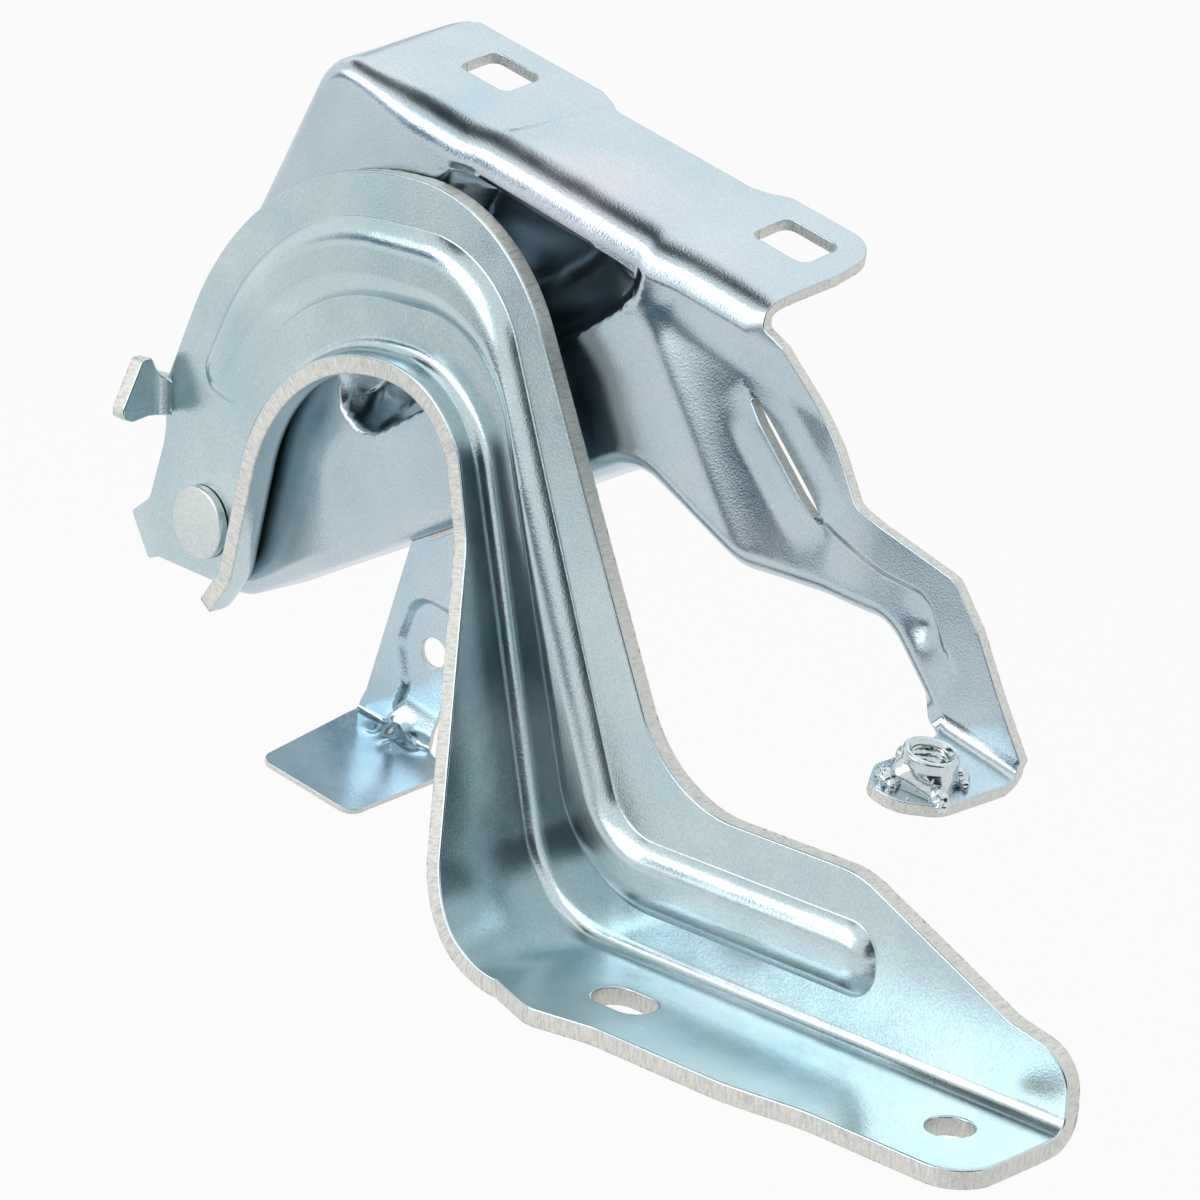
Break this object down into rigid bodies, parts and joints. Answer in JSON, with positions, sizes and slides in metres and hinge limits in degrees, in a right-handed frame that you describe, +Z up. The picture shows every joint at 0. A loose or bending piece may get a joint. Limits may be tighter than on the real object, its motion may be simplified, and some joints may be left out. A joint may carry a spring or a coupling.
{
  "type": "bonnet hinge",
  "caption": "Gooseneck bonnet hinge of zinc-plated pressed steel: a riveted swing arm with a bolt-on bonnet flange, turning on a deep-drawn body bracket with a welded nut and a stay.",
  "frame": {"origin": "middle of the body flange's face, between its two rectangular windows", "axes": "+X along the bonnet flange from the gooseneck's bend to its nose, +Y from the arm towards the body bracket and along the pivot axis, +Z up in the pictured position, which is upside down compared with the car"},
  "size_m": [0.2641, 0.0725, 0.1707],
  "materials": {
    "zinc_sheet": "bright bluish zinc plate on pressed sheet steel",
    "zinc_rivet": "bright zinc plate on cold-headed steel",
    "bush_metal": "sintered bronze, oiled",
    "nut_steel": "glossy zinc plate",
    "weld_metal": "zinc plate over weld spatter"
  },
  "bodies": {
    "body_side": {"body_bracket": "zinc_sheet", "stay_bracket": "zinc_sheet", "pivot_rivet": "zinc_rivet", "back_washer": "zinc_rivet", "weld_nut": "nut_steel", "nut_weld_beads": "weld_metal"},
    "bonnet_side": {"gooseneck_arm": "zinc_sheet", "pivot_bush": "bush_metal"}
  },
  "joints": [
    {"name": "pivot", "type": "hinge", "parent": "body_side", "child": "bonnet_side", "pos_m": [-0.09848, -0.02683, -0.09301], "axis": [0, 1, 0], "range_deg": [0, 50]}
  ]
}
